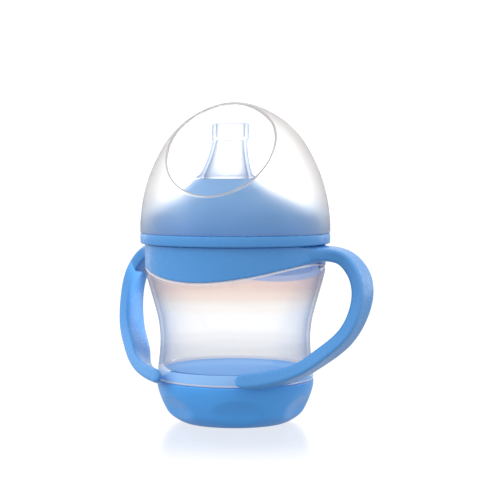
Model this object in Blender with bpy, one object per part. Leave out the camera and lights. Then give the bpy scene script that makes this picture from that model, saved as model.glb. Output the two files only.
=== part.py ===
"""Two-handled sippy cup with a screw collar, a soft spout and a domed dust cover.

Built in metres, +Z up, with the origin at the centre of the foot on the table plane.
-Y is the drinking side, which the spout and the cover's window face, and +X is the
side of the right handle. All lengths below are millimetres. Angles about the axis
start at -Y and grow towards +X.
"""

import math

import bmesh
import bpy
from mathutils import Matrix, Vector

MM = 0.001
SEGMENTS = 40                 # facets round the cup
SHARP_ANGLE = 35.0            # degrees; steeper edges are shaded sharp

# ---- dimensions shared between pieces ----------------------------------------
BASE_RIM_Z = 17.9             # top edge of the base cup
SKIRT_R_OUT = 30.9            # bottle skirt that plugs into the base cup
SKIRT_Z = 12.6                # lower edge of the skirt
PLUG_GAP = 0.3                # between the bottle and the base cup
PITCH = 4.0                   # screw thread
THREAD_START_Z = 76.4         # centre of the neck thread where it starts
FLANGE_R = 40.0               # collar flange, flush with the dust cover


# ---- mesh and object helpers -------------------------------------------------
def clear_scene():
    for obj in list(bpy.data.objects):
        bpy.data.objects.remove(obj, do_unlink=True)
    for mesh in list(bpy.data.meshes):
        bpy.data.meshes.remove(mesh)


def material(name, color, roughness, transmission=0.0):
    mat = bpy.data.materials.new(name)
    mat.use_nodes = True
    inputs = mat.node_tree.nodes["Principled BSDF"].inputs
    inputs["Base Color"].default_value = (*color, 1.0)
    inputs["Roughness"].default_value = roughness
    inputs["Transmission Weight"].default_value = transmission
    return mat


def add_empty(name):
    empty = bpy.data.objects.new(name, None)
    bpy.context.scene.collection.objects.link(empty)
    return empty


def add_object(name, bm, mat=None):
    """Turns a bmesh into an object. Without a material it is a hidden boolean helper."""
    bmesh.ops.recalc_face_normals(bm, faces=bm.faces[:])
    mesh = bpy.data.meshes.new(name)
    bm.to_mesh(mesh)
    bm.free()
    obj = bpy.data.objects.new(name, mesh)
    bpy.context.scene.collection.objects.link(obj)
    if mat is None:
        obj.hide_render = True
        obj.display_type = "WIRE"
    else:
        mesh.materials.append(mat)
        mesh.shade_smooth()
        mesh.set_sharp_from_angle(angle=math.radians(SHARP_ANGLE))
    return obj


def boolean(obj, other, operation):
    modifier = obj.modifiers.new(other.name, "BOOLEAN")
    modifier.operation = operation
    modifier.object = other
    modifier.solver = "EXACT"


def loft(rings, closed=False):
    """Skins rings of points. A ring of one point closes to a fan.

    A closed loft joins its last ring to its first; an open one is capped.
    """
    bm = bmesh.new()
    verts = [[bm.verts.new(Vector(point) * MM) for point in ring] for ring in rings]
    pairs = list(zip(verts, verts[1:]))
    if closed:
        pairs.append((verts[-1], verts[0]))
    for lower, upper in pairs:
        count = max(len(lower), len(upper))
        for i in range(count):
            j = (i + 1) % count
            if len(lower) == 1:
                bm.faces.new((lower[0], upper[j], upper[i]))
            elif len(upper) == 1:
                bm.faces.new((lower[i], lower[j], upper[0]))
            else:
                bm.faces.new((lower[i], lower[j], upper[j], upper[i]))
    if not closed:
        if len(verts[0]) > 1:
            bm.faces.new(list(reversed(verts[0])))
        if len(verts[-1]) > 1:
            bm.faces.new(verts[-1])
    return bm


def placement(axes, sizes, centre):
    """Matrix that sizes a unit shape along three axes and moves it to the centre."""
    rows = [[axis[row] * size for axis, size in zip(axes, sizes)] + [centre[row]]
            for row in range(3)]
    return Matrix.Scale(MM, 4) @ Matrix(rows + [[0.0, 0.0, 0.0, 1.0]])


# ---- rings and curves --------------------------------------------------------
def polar(radius, angle, z):
    return (radius * math.sin(angle), -radius * math.cos(angle), z)


def axis_point(z):
    """A ring of one point, on the cup's axis."""
    return [(0.0, 0.0, z)]


def value_at(value, angle):
    return value(angle) if callable(value) else value


def circle(radius, z):
    """One ring about the axis; radius and z may be functions of the angle."""
    angles = [math.tau * i / SEGMENTS for i in range(SEGMENTS)]
    return [polar(value_at(radius, angle), angle, value_at(z, angle)) for angle in angles]


def circles(profile):
    """Rings from (radius, z) pairs."""
    return [circle(radius, z) for radius, z in profile]


def signed_power(value, exponent):
    return math.copysign(abs(value) ** exponent, value)


def oval(half_x, half_y, z, forward, count=SEGMENTS, power=2.0):
    """A superellipse ring whose centre lies `forward` towards -Y; power 2 is an ellipse."""
    ring = []
    for i in range(count):
        angle = math.tau * i / count
        across = signed_power(math.sin(angle), 2.0 / power)
        along = signed_power(math.cos(angle), 2.0 / power)
        ring.append((half_x * across, -forward - half_y * along, z))
    return ring


def radius_at(table, z):
    """Linear reading of [(z, radius), ...], with z rising and inside the table."""
    for (z0, radius0), (z1, radius1) in zip(table, table[1:]):
        if z <= z1:
            return radius0 + (radius1 - radius0) * (z - z0) / (z1 - z0)


def smoothstep(share):
    share = min(1.0, max(0.0, share))
    return share * share * (3.0 - 2.0 * share)


def band_edge(angle):
    """Height of the handle ring's lower edge, a wave round the cup."""
    return 63.7 + 0.8 * math.cos(angle) - 3.85 * math.cos(2.0 * angle)


def edge_offset(rise):
    """Height function that follows the handle ring's lower edge, raised by `rise`."""
    return lambda angle: band_edge(angle) + rise


# ---- screw threads -----------------------------------------------------------
THREAD_HALF_ROOT = 1.15       # half heights of the ridge's section
THREAD_HALF_CREST = 0.5
THREAD_OVERLAP = 0.6          # root sunk into the wall that carries it
THREAD_FADE_RATE = 8.0        # full height is reached in about 1/8 turn
THREAD_END_SHARE = 0.12       # share of full height at the very ends


def make_thread(name, root_r, crest_r, start_z, turns):
    """A trapezoidal ridge along a right-hand helix, faded out at both ends."""
    steps = int(round(turns * SEGMENTS))
    outward = 1.0 if crest_r > root_r else -1.0
    sunk_r = root_r - outward * THREAD_OVERLAP
    sections = []
    for i in range(steps + 1):
        share = i / steps
        fade = min(1.0, min(share, 1.0 - share) * turns * THREAD_FADE_RATE + THREAD_END_SHARE)
        angle = math.tau * turns * share
        z = start_z + PITCH * turns * share
        tip_r = root_r + (crest_r - root_r) * fade
        sections.append([polar(sunk_r, angle, z - THREAD_HALF_ROOT),
                         polar(sunk_r, angle, z + THREAD_HALF_ROOT),
                         polar(tip_r, angle, z + THREAD_HALF_CREST),
                         polar(tip_r, angle, z - THREAD_HALF_CREST)])
    return add_object(name, loft(sections))


# ---- bottle ------------------------------------------------------------------
WALL = 1.6
SKIRT_R_IN = 29.3
FLOOR_UNDER_Z = 20.3
FLOOR_Z = 22.3                # inside floor
BODY_FOOT_R = 32.7            # lowest ring of the body, above the base cup's rim
FLARE_START_Z = 48.0          # the body starts to widen towards the lip
LEVEL_TOP_Z = 50.5            # rings above this one follow the handle ring's edge
SHOULDER_R = 37.9             # lip the handle ring sits on
LIP_DROP = 1.3                # lip below the handle ring's edge
INNER_LIP_DROP = 2.6
BAND_GAP = 0.3                # shoulder to the handle ring's edge
NECK_ZONE_R = 35.9            # bottle under the handle ring
NECK_ZONE_TOP = 73.9
NECK_R = 33.6                 # plain neck under the thread
NECK_BORE_R = 31.9
NECK_BORE_Z = 75.5            # lower end of the bore
NECK_TOP_Z = 82.7
NECK_CREST_R = 34.95
NECK_THREAD_TURNS = 1.2

# Outside of the body: z, radius
BODY = [(18.2, 33.0), (21.0, 32.75), (26.0, 32.2), (30.0, 31.8), (34.0, 31.6),
        (37.0, 31.65), (40.0, 31.95), (43.4, 32.45), (46.8, 33.25), (50.2, 34.2),
        (53.5, 35.15), (56.9, 36.15), (60.3, 37.1), (64.0, 37.9), (70.0, 38.0)]
OUTER_RING_Z = (18.6, 22.0, 27.0, 31.0, 35.0, 39.0, 43.0, 47.0, LEVEL_TOP_Z)
INNER_RING_Z = (LEVEL_TOP_Z, 46.0, 42.0, 38.0, 34.0, 29.0, 25.5)


def body_radius(z, angle):
    """Outside of the bottle, flaring to the lip under the handle ring."""
    lip = band_edge(angle) - LIP_DROP
    blend = smoothstep((z - FLARE_START_Z) / (lip - FLARE_START_Z))
    return radius_at(BODY, z) + (SHOULDER_R - radius_at(BODY, lip)) * blend


def body_ring(height, inset=0.0):
    return circle(lambda angle: body_radius(value_at(height, angle), angle) - inset, height)


def flare_height(share, drop):
    """Height part way from the top level ring to `drop` below the handle ring's edge."""
    return lambda angle: LEVEL_TOP_Z + (band_edge(angle) - drop - LEVEL_TOP_Z) * share


def make_bottle(mat):
    rings = [axis_point(FLOOR_UNDER_Z)]
    rings += circles([             # skirt, from its inside to the foot of the body
        (SKIRT_R_IN - 1.2, FLOOR_UNDER_Z),
        (SKIRT_R_IN, FLOOR_UNDER_Z - 0.8),
        (SKIRT_R_IN, SKIRT_Z),
        (SKIRT_R_OUT - 0.3, SKIRT_Z),
        (SKIRT_R_OUT, SKIRT_Z + 0.5),
        (SKIRT_R_OUT, BASE_RIM_Z + PLUG_GAP),
        (BODY_FOOT_R, BASE_RIM_Z + PLUG_GAP)])
    rings += [body_ring(z) for z in OUTER_RING_Z]
    rings += [body_ring(flare_height(share, LIP_DROP)) for share in (0.4, 0.75, 1.0)]
    rings += circles([             # shoulder, neck, and back down inside
        (SHOULDER_R - 0.1, edge_offset(-BAND_GAP)),
        (NECK_ZONE_R, edge_offset(-BAND_GAP)),
        (NECK_ZONE_R, NECK_ZONE_TOP - 0.6),
        (NECK_ZONE_R - 0.7, NECK_ZONE_TOP),
        (NECK_R, NECK_ZONE_TOP + 0.1),
        (NECK_R, NECK_TOP_Z - 0.4),
        (NECK_R - 0.4, NECK_TOP_Z),
        (NECK_BORE_R, NECK_TOP_Z),
        (NECK_BORE_R, NECK_BORE_Z),
        (NECK_ZONE_R - WALL, 72.6),
        (NECK_ZONE_R - WALL, edge_offset(-0.2))])
    rings += [body_ring(flare_height(share, INNER_LIP_DROP), WALL) for share in (1.0, 0.5)]
    rings += [body_ring(z, WALL) for z in INNER_RING_Z]
    rings += circles([(29.6, 23.2), (27.6, FLOOR_Z)])    # rounded corner of the floor
    rings.append(axis_point(FLOOR_Z))
    bottle = add_object("bottle", loft(rings), mat)
    thread = make_thread("cut_neck_thread", NECK_R, NECK_CREST_R,
                         THREAD_START_Z, NECK_THREAD_TURNS)
    boolean(bottle, thread, "UNION")
    return bottle


# ---- base cup ----------------------------------------------------------------
BASE_RIM_R = 33.05
FOOT_R = 21.9                 # flat foot, open to a shallow recess in its middle
FOOT_RECESS_R = 18.4
FOOT_RECESS_Z = 1.2
INNER_WALL_R = 28.7           # upright wall under the bottle's floor
INNER_WALL_TOP_Z = 19.9
INNER_WALL_BORE_R = INNER_WALL_R - 1.7
SOCKET_R = SKIRT_R_OUT + PLUG_GAP     # groove that takes the bottle's skirt
SOCKET_Z = SKIRT_Z - PLUG_GAP

# Outside of the bowl: z, radius
BOWL = [(0.9, 23.9), (2.4, 26.4), (4.4, 28.5), (7.0, 29.95), (10.0, 31.3),
        (13.0, 32.3), (15.5, 32.9), (17.4, BASE_RIM_R)]
# Inside of the bowl, below the inner wall: radius, z
BOWL_INSIDE = [(INNER_WALL_BORE_R, 9.5), (26.3, 6.6), (24.2, 4.6), (21.0, 3.6)]
BOWL_FLOOR_Z = 3.2            # on the axis

DIMPLES = 6
DIMPLE_PHASE = 30.0           # degrees, angle of the first
DIMPLE_Z = 7.6
DIMPLE_LIFT = 6.6             # ellipsoid's centre outside the bowl, along its normal
DIMPLE_HALF_SIZES = (17.0, 9.6, 8.3)  # round the bowl, up its side, into it
SLOPE_REACH = 1.5             # the bowl's slope is read this far above and below


def make_dimple(index):
    """An ellipsoid that dips into the side of the bowl."""
    angle = math.radians(DIMPLE_PHASE + 360.0 * index / DIMPLES)
    widening = (radius_at(BOWL, DIMPLE_Z + SLOPE_REACH)
                - radius_at(BOWL, DIMPLE_Z - SLOPE_REACH))
    slope = math.atan2(widening, 2.0 * SLOPE_REACH)
    up = Vector((0, 0, 1))
    radial = Vector((math.sin(angle), -math.cos(angle), 0.0))
    normal = (radial * math.cos(slope) - up * math.sin(slope)).normalized()
    tangent = Vector((math.cos(angle), math.sin(angle), 0.0))
    meridian = normal.cross(tangent).normalized()
    centre = (radial * radius_at(BOWL, DIMPLE_Z) + Vector((0, 0, DIMPLE_Z))
              + normal * DIMPLE_LIFT)
    bm = bmesh.new()
    bmesh.ops.create_icosphere(bm, subdivisions=3, radius=1.0)
    matrix = placement((tangent, meridian, normal), DIMPLE_HALF_SIZES, centre)
    bmesh.ops.transform(bm, matrix=matrix, verts=bm.verts[:])
    return add_object(f"cut_dimple_{index + 1}", bm)


def make_base(mat):
    rings = [axis_point(FOOT_RECESS_Z)]
    rings += circles([(FOOT_RECESS_R - 0.8, FOOT_RECESS_Z), (FOOT_RECESS_R, 0.0),
                      (FOOT_R, 0.0)])
    rings += [circle(radius, z) for z, radius in BOWL]
    rings += circles([             # rim, socket and inner wall
        (BASE_RIM_R - 0.35, BASE_RIM_Z),
        (SOCKET_R, BASE_RIM_Z),
        (SOCKET_R, SOCKET_Z),
        (INNER_WALL_R, SOCKET_Z),
        (INNER_WALL_R, INNER_WALL_TOP_Z - 1.2),
        (INNER_WALL_R - 0.6, INNER_WALL_TOP_Z),
        (INNER_WALL_BORE_R, INNER_WALL_TOP_Z)])
    rings += circles(BOWL_INSIDE)
    rings.append(axis_point(BOWL_FLOOR_Z))
    base = add_object("base_cup", loft(rings), mat)
    for i in range(DIMPLES):
        boolean(base, make_dimple(i), "DIFFERENCE")
    return base


# ---- collar ------------------------------------------------------------------
COLLAR_BORE_R = 35.45
COLLAR_CREST_R = 34.05
COLLAR_THREAD_TURNS = 1.0
CEILING_Z = 84.25             # flat ceiling over the bottle's neck
CEILING_R_IN = 31.2
FLANGE_Z0, FLANGE_Z1 = 75.1, 79.45
SPIGOT_R = 38.3               # wall the dust cover pushes over

# Outside of the dome: half size x, half size y, z, offset towards -Y
DOME = [(SPIGOT_R, SPIGOT_R, 83.0, 0.0), (37.6, 37.6, 85.2, 0.1), (35.6, 35.5, 87.4, 0.4),
        (31.6, 31.3, 90.2, 1.3), (27.0, 26.6, 93.1, 2.7), (22.0, 21.4, 96.0, 4.4),
        (17.6, 16.8, 98.6, 6.1), (15.0, 13.9, 100.4, 7.3), (13.6, 12.2, 101.5, 8.0)]
DOME_INSET = 1.0              # inside of the dome from its outside: sideways
DOME_DROP = 2.1               # and down
# Spout hole and the rims above and below it, same columns
SPOUT_HOLE = [(12.9, 11.4, 101.8, 8.2), (11.6, 10.0, 101.8, 8.2), (11.6, 10.0, 99.6, 8.2),
              (15.2, 13.8, 98.2, 7.2)]


def make_collar(mat):
    rings = circles([              # flange, from the bore out to the spigot
        (COLLAR_BORE_R, FLANGE_Z0),
        (FLANGE_R - 0.7, FLANGE_Z0),
        (FLANGE_R, FLANGE_Z0 + 0.7),
        (FLANGE_R, FLANGE_Z1 - 0.4),
        (FLANGE_R - 0.4, FLANGE_Z1),
        (SPIGOT_R, FLANGE_Z1)])
    rings += [oval(*station) for station in DOME + SPOUT_HOLE]
    rings += [oval(half_x - DOME_INSET, half_y - DOME_INSET, z - DOME_DROP, forward)
              for half_x, half_y, z, forward in DOME[5:1:-1]]
    rings += circles([(CEILING_R_IN, CEILING_Z + 0.6), (CEILING_R_IN, CEILING_Z),
                      (COLLAR_BORE_R, CEILING_Z)])
    collar = add_object("collar", loft(rings, closed=True), mat)
    # half a pitch up, so the ridge runs between the turns of the neck's
    thread = make_thread("cut_collar_thread", COLLAR_BORE_R, COLLAR_CREST_R,
                         THREAD_START_Z + 0.5 * PITCH, COLLAR_THREAD_TURNS)
    boolean(collar, thread, "UNION")
    return collar


# ---- neck seal ---------------------------------------------------------------
SEAL_R_IN, SEAL_R_OUT = 31.95, 35.1
SEAL_EDGE_R = 34.9            # flat faces end here, at the bevels
SEAL_Z0, SEAL_Z1 = 82.95, 84.05
SEAL_BEVEL = 0.25             # height of each bevel


def make_seal(mat):
    rings = circles([(SEAL_R_IN, SEAL_Z0), (SEAL_EDGE_R, SEAL_Z0),
                     (SEAL_R_OUT, SEAL_Z0 + SEAL_BEVEL), (SEAL_R_OUT, SEAL_Z1 - SEAL_BEVEL),
                     (SEAL_EDGE_R, SEAL_Z1), (SEAL_R_IN, SEAL_Z1)])
    return add_object("neck_seal", loft(rings, closed=True), mat)


# ---- spout -------------------------------------------------------------------
SPOUT_SEGMENTS = 32
SQUARE_START_Z = 102.6        # ovals grow squarer above this
SQUARE_RISE = 8.0             # over this height
SQUARE_POWER = 0.35           # by this much superellipse power
SLIT_HALF_X, SLIT_HALF_Y = 2.6, 0.25

# Half size x, half size y, z, offset towards -Y
SPOUT_OUTSIDE = [
    (14.2, 12.6, 96.4, 7.8), (14.5, 12.9, 96.8, 7.8), (14.5, 12.9, 97.8, 7.8),
    (11.2, 9.6, 99.1, 8.2), (11.2, 9.6, 102.1, 8.2), (13.2, 11.4, 102.1, 8.2),
    (13.0, 11.1, 102.6, 8.2), (11.6, 9.3, 103.7, 7.9), (10.3, 7.6, 106.2, 7.2),
    (9.2, 6.2, 109.6, 6.4), (8.3, 5.1, 113.6, 5.5), (7.7, 4.5, 117.6, 4.6),
    (8.3, 5.0, 118.3, 4.5), (8.2, 4.8, 124.2, 4.0), (7.7, 4.3, 124.9, 3.9),
    (6.9, 3.6, 125.0, 3.9)]
SPOUT_MOUTH = [(6.6, 3.3, 124.7, 3.9), (6.6, 3.3, 119.3, 4.4)]    # down to the membrane
SPOUT_CAVITY = [                                                  # below the membrane
    (6.2, 3.2, 117.9, 4.6), (6.8, 3.7, 113.6, 5.5), (7.7, 4.8, 109.6, 6.4),
    (8.7, 6.0, 106.2, 7.2), (9.6, 7.8, 103.0, 8.0), (9.7, 8.1, 98.6, 8.2),
    (11.8, 10.2, 96.4, 8.0)]


def spout_ring(half_x, half_y, z, forward):
    power = 2.0 + SQUARE_POWER * smoothstep((z - SQUARE_START_Z) / SQUARE_RISE)
    return oval(half_x, half_y, z, forward, SPOUT_SEGMENTS, power)


def make_spout(mat):
    rings = [spout_ring(*station) for station in SPOUT_OUTSIDE + SPOUT_MOUTH]
    # the membrane's slit is a narrow slot through to the cavity below
    rings += [oval(SLIT_HALF_X, SLIT_HALF_Y, z, forward, SPOUT_SEGMENTS)
              for _, _, z, forward in (SPOUT_MOUTH[-1], SPOUT_CAVITY[0])]
    rings += [spout_ring(*station) for station in SPOUT_CAVITY]
    return add_object("spout", loft(rings, closed=True), mat)


# ---- handle ring -------------------------------------------------------------
BAND_R_IN, BAND_R_OUT = 36.2, 38.05
BAND_TOP_Z = 74.75

# Spline control points (x, y, z) of the right strap's front inner edge, then the
# vectors from it to the back edge (its width) and to the outer face (its thickness).
STRAP_EDGE = [(37.6, 0.7, 69.5), (44.6, 2.4, 69.4), (49.2, 3.1, 64.8), (52.0, 2.5, 59.5),
              (53.2, 1.1, 52.3), (51.2, -4.8, 40.6), (43.3, -13.0, 33.5),
              (35.3, -23.2, 25.0), (22.1, -31.8, 24.3)]
STRAP_WIDTH = [(-0.9, 8.0, 0.1), (-1.4, 10.6, 0.7), (0.0, 13.0, 0.4), (1.0, 13.4, -1.8),
               (-0.2, 11.7, -4.5), (-2.8, 8.8, -5.9), (-5.5, 8.3, -5.3),
               (-3.6, 6.2, -3.0), (0.2, 4.2, -1.5)]
STRAP_THICKNESS = [(0.1, -0.1, 4.9), (2.2, 0.3, 4.6), (4.0, 0.3, 3.2), (4.6, -0.1, 1.3),
                   (4.6, 0.2, -0.2), (4.4, 0.5, -2.1), (4.1, -0.4, -3.4),
                   (1.9, -0.5, -4.9), (-3.1, -3.4, -5.3)]
STRAP_SECTIONS = 28
SECTION_POINTS = 14
SECTION_EXPONENT = 0.56       # rounded-rectangle section; 1 would be an ellipse
TIP_ROUND = 1.7               # radius of the tip's rounded rim
TIP_SECTIONS = 4
TIP_READ = 0.98               # the tip's direction runs from here to the end


def bspline(points, param):
    """Clamped uniform cubic B-spline, param from 0 to 1."""
    count, degree = len(points), 3
    inner_knots = [i / (count - degree) for i in range(1, count - degree)]
    knots = [0.0] * (degree + 1) + inner_knots + [1.0] * (degree + 1)
    param = min(param, 1.0 - 1e-9)       # keeps the end inside the last span
    span = max(i for i in range(degree, count) if knots[i] <= param)
    work = [Vector(points[j + span - degree]) for j in range(degree + 1)]
    for level in range(1, degree + 1):
        for j in range(degree, level - 1, -1):
            low = knots[j + span - degree]
            alpha = (param - low) / (knots[j + 1 + span - level] - low)
            work[j] = work[j - 1] * (1.0 - alpha) + work[j] * alpha
    return work[degree]


def strap_rings(side):
    """Cross-sections of one strap; side is +1 for +X and -1 for -X."""
    end = (bspline(STRAP_EDGE, 1.0) - bspline(STRAP_EDGE, TIP_READ)).normalized()
    # spline parameter, inset of the section's sides, shift along the tip's direction
    stations = [(i / STRAP_SECTIONS, 0.0, 0.0) for i in range(STRAP_SECTIONS)]
    for i in range(TIP_SECTIONS):
        angle = 0.5 * math.pi * i / (TIP_SECTIONS - 1)
        stations.append((1.0, TIP_ROUND * (1.0 - math.cos(angle)),
                         TIP_ROUND * (math.sin(angle) - 1.0)))
    rings = []
    for param, inset, shift in stations:
        width = bspline(STRAP_WIDTH, param)
        thickness = bspline(STRAP_THICKNESS, param)
        centre = bspline(STRAP_EDGE, param) + 0.5 * width + 0.5 * thickness + end * shift
        width *= 0.5 - inset / width.length
        thickness *= 0.5 - inset / thickness.length
        ring = []
        for i in range(SECTION_POINTS):
            angle = math.tau * (i + 0.5) / SECTION_POINTS
            point = (centre + width * signed_power(math.cos(angle), SECTION_EXPONENT)
                     + thickness * signed_power(math.sin(angle), SECTION_EXPONENT))
            ring.append((side * point.x, point.y, point.z))
        rings.append(ring if side > 0 else ring[::-1])
    return rings


def make_handle_ring(mat):
    rings = circles([(BAND_R_OUT - 0.5, band_edge), (BAND_R_OUT, edge_offset(0.6)),
                     (BAND_R_OUT, BAND_TOP_Z - 0.4), (BAND_R_OUT - 0.4, BAND_TOP_Z),
                     (BAND_R_IN, BAND_TOP_Z), (BAND_R_IN, band_edge)])
    band = add_object("handle_ring", loft(rings, closed=True), mat)
    for side, word in ((1, "right"), (-1, "left")):
        strap = add_object(f"join_{word}_strap", loft(strap_rings(side)))
        boolean(band, strap, "UNION")
    return band


# ---- dust cover --------------------------------------------------------------
COVER_Z0 = 79.7               # lower edge
COVER_TOP = 134.25
COVER_WALL = 1.3
CORE_OVERSHOOT = 5.0          # the hollowing core starts this far below the edge
CORE_CROWN_Z = 100.0          # above this the core is lowered, to keep the wall
CORE_LAST_R = 5.2             # core's last ring under the top
WINDOW_AZIMUTH = 10.0         # degrees, from -Y towards +X
WINDOW_TILT = 42.4            # degrees the window's normal rises above level
WINDOW_CENTRE_Z = 95.0        # point on the axis that offsets are measured from
WINDOW_OFFSET = 28.6          # from there to the window's outer face
CUTTER_SIZE = (120, 120, 60)  # block: two sides of its near face, then depth

# Outside of the cover: z, radius
COVER = [(COVER_Z0, FLANGE_R), (84.5, 39.9), (89.0, 39.45), (92.4, 39.0), (95.7, 38.3),
         (99.1, 37.5), (102.5, 36.45), (105.8, 35.2), (109.2, 33.75), (112.6, 32.0),
         (115.9, 30.1), (119.3, 27.8), (122.6, 25.0), (126.0, 21.4), (129.3, 16.5),
         (131.4, 12.4), (133.2, 7.4), (134.0, 3.6)]


def window_block(name, offset):
    """A block whose near face is the window plane at this offset."""
    azimuth, tilt = math.radians(WINDOW_AZIMUTH), math.radians(WINDOW_TILT)
    normal = Vector((math.sin(azimuth) * math.cos(tilt),
                     -math.cos(azimuth) * math.cos(tilt), math.sin(tilt)))
    level = Vector((math.cos(azimuth), math.sin(azimuth), 0.0))
    rising = normal.cross(level)
    centre = Vector((0.0, 0.0, WINDOW_CENTRE_Z)) + normal * (offset + 0.5 * CUTTER_SIZE[2])
    bm = bmesh.new()
    bmesh.ops.create_cube(bm, size=1.0)
    matrix = placement((level, rising, normal), CUTTER_SIZE, centre)
    bmesh.ops.transform(bm, matrix=matrix, verts=bm.verts[:])
    return add_object(name, bm)


def core_rings():
    """The inside of the cover, one wall in from the outside."""
    start_z = COVER_Z0 - CORE_OVERSHOOT
    rings = [axis_point(start_z), circle(COVER[0][1] - COVER_WALL, start_z)]
    for z, radius in COVER[:-2]:
        share = (z - CORE_CROWN_Z) / (COVER_TOP - CORE_CROWN_Z)
        rings.append(circle(radius - COVER_WALL, z - COVER_WALL * max(0.0, share)))
    rings.append(circle(CORE_LAST_R, COVER[-2][0] - COVER_WALL + 0.1))
    rings.append(axis_point(COVER_TOP - COVER_WALL))
    return rings


def make_cover(mat):
    """A solid dome less a core; both are cut flat, which leaves a flat window pane."""
    rings = [axis_point(COVER_Z0)]
    rings += [circle(radius, z) for z, radius in COVER]
    rings.append(axis_point(COVER_TOP))
    cover = add_object("dust_cover", loft(rings), mat)
    boolean(cover, window_block("cut_window_outside", WINDOW_OFFSET), "DIFFERENCE")
    core = add_object("cut_cover_inside", loft(core_rings()))
    boolean(core, window_block("cut_window_inside", WINDOW_OFFSET - COVER_WALL), "DIFFERENCE")
    boolean(cover, core, "DIFFERENCE")
    return cover


# ---- assembly ----------------------------------------------------------------
def main():
    clear_scene()
    blue = material("blue_pp", color=(0.085, 0.315, 0.715), roughness=0.28)
    base_blue = material("blue_base", color=(0.07, 0.28, 0.68), roughness=0.38)
    frosted = material("frosted_pp", color=(0.86, 0.86, 0.87), roughness=0.45,
                       transmission=0.7)
    clear = material("clear_pp", color=(0.86, 0.88, 0.92), roughness=0.22, transmission=0.8)
    silicone = material("clear_silicone", color=(0.90, 0.93, 0.97), roughness=0.2,
                        transmission=0.85)
    seal_white = material("seal_silicone", color=(0.88, 0.90, 0.92), roughness=0.5)

    # empties at the origin: the still body, and the lid group that moves on it
    cup = add_empty("cup_axis")
    lid = add_empty("lid_axis")
    lid.parent = cup

    make_bottle(clear).parent = cup
    make_handle_ring(blue).parent = cup
    make_base(base_blue).parent = cup
    make_seal(seal_white).parent = lid
    make_collar(blue).parent = lid
    make_spout(silicone).parent = lid
    make_cover(frosted).parent = lid


main()
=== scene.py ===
"""A sippy cup: a blue base cup, a clear bottle with a two-strap handle ring, a blue collar
with a soft spout, and a frosted dust cover with a flat window.

The cup stands upright on z = 0 with its axis on Z. The spout leans towards -Y, the straps
leave the ring at +X and -X, and angles round the axis run from -Y towards +X.
Shapes are in millimetres until they become meshes; the stage is in metres.
"""
import math

import bmesh
import bpy
import numpy as np
from mathutils import Matrix, Vector
from mathutils.bvhtree import BVHTree


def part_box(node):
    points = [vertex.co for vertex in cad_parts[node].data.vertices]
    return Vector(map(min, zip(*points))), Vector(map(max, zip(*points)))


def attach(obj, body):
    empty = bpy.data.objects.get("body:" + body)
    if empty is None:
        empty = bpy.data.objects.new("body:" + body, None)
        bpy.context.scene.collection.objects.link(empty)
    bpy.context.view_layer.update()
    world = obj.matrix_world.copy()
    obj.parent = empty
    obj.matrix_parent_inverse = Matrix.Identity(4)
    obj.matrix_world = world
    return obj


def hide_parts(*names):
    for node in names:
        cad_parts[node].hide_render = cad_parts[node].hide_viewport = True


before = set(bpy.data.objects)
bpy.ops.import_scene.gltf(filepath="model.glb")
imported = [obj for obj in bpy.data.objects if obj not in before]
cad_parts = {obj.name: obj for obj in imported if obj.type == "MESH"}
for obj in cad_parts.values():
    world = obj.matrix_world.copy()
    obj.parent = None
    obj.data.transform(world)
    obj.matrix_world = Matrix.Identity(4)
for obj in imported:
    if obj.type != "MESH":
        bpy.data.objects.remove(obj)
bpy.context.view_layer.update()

MM = 0.001

# Steps round the axis
WALL_STEPS = 160       # bottle, collar and dust cover
BASE_STEPS = 180
SPOUT_STEPS = 96
SEAL_STEPS = 128
RING_STEPS = 320
RING_VOXEL = 0.43


# ---------------------------------------------------------------- curves
def smooth(t):
    t = min(1.0, max(0.0, t))
    return t * t * (3.0 - 2.0 * t)


def signed_power(value, power):
    return math.copysign(abs(value) ** power, value)


def catmull(points, count):
    """A centripetal Catmull-Rom curve, read at `count` even steps of length."""
    stops = np.array(points, float)
    stops = np.vstack([2 * stops[0] - stops[1], stops, 2 * stops[-1] - stops[-2]])
    # the knots between which each round of blending runs
    rounds = (((0, 1), (1, 2), (2, 3)), ((0, 2), (1, 3)), ((1, 2),))
    curve = []
    for i in range(1, len(stops) - 2):
        near = stops[i - 1:i + 3]
        knots = [0.0]
        for start, end in zip(near, near[1:]):
            knots.append(knots[-1] + max(1e-9, np.linalg.norm(end - start)) ** 0.5)
        for t in np.linspace(knots[1], knots[2], 12, endpoint=False):
            level = near
            for spans in rounds:
                level = [(knots[high] - t) / (knots[high] - knots[low]) * start
                         + (t - knots[low]) / (knots[high] - knots[low]) * end
                         for (low, high), start, end in zip(spans, level, level[1:])]
            curve.append(level[0])
    curve.append(stops[-2])
    curve = np.array(curve)
    steps = np.linalg.norm(np.diff(curve, axis=0), axis=1)
    length = np.concatenate([[0], np.cumsum(steps)])
    even = np.linspace(0, length[-1], count)
    return np.stack([np.interp(even, length, column) for column in curve.T], 1)


def bspline(points, t):
    """A point of the clamped cubic B-spline of these control points, for t from 0 to 1."""
    count, degree = len(points), 3
    inner = [i / (count - degree) for i in range(1, count - degree)]
    knots = [0.0] * (degree + 1) + inner + [1.0] * (degree + 1)
    t = min(max(t, 0.0), 1.0 - 1e-9)
    span = max(i for i in range(degree, count) if knots[i] <= t)
    level = [np.array(points[j + span - degree], float) for j in range(degree + 1)]
    for r in range(1, degree + 1):
        for j in range(degree, r - 1, -1):
            low = knots[j + span - degree]
            share = (t - low) / (knots[j + 1 + span - r] - low)
            level[j] = level[j - 1] * (1.0 - share) + level[j] * share
    return level[degree]


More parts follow.
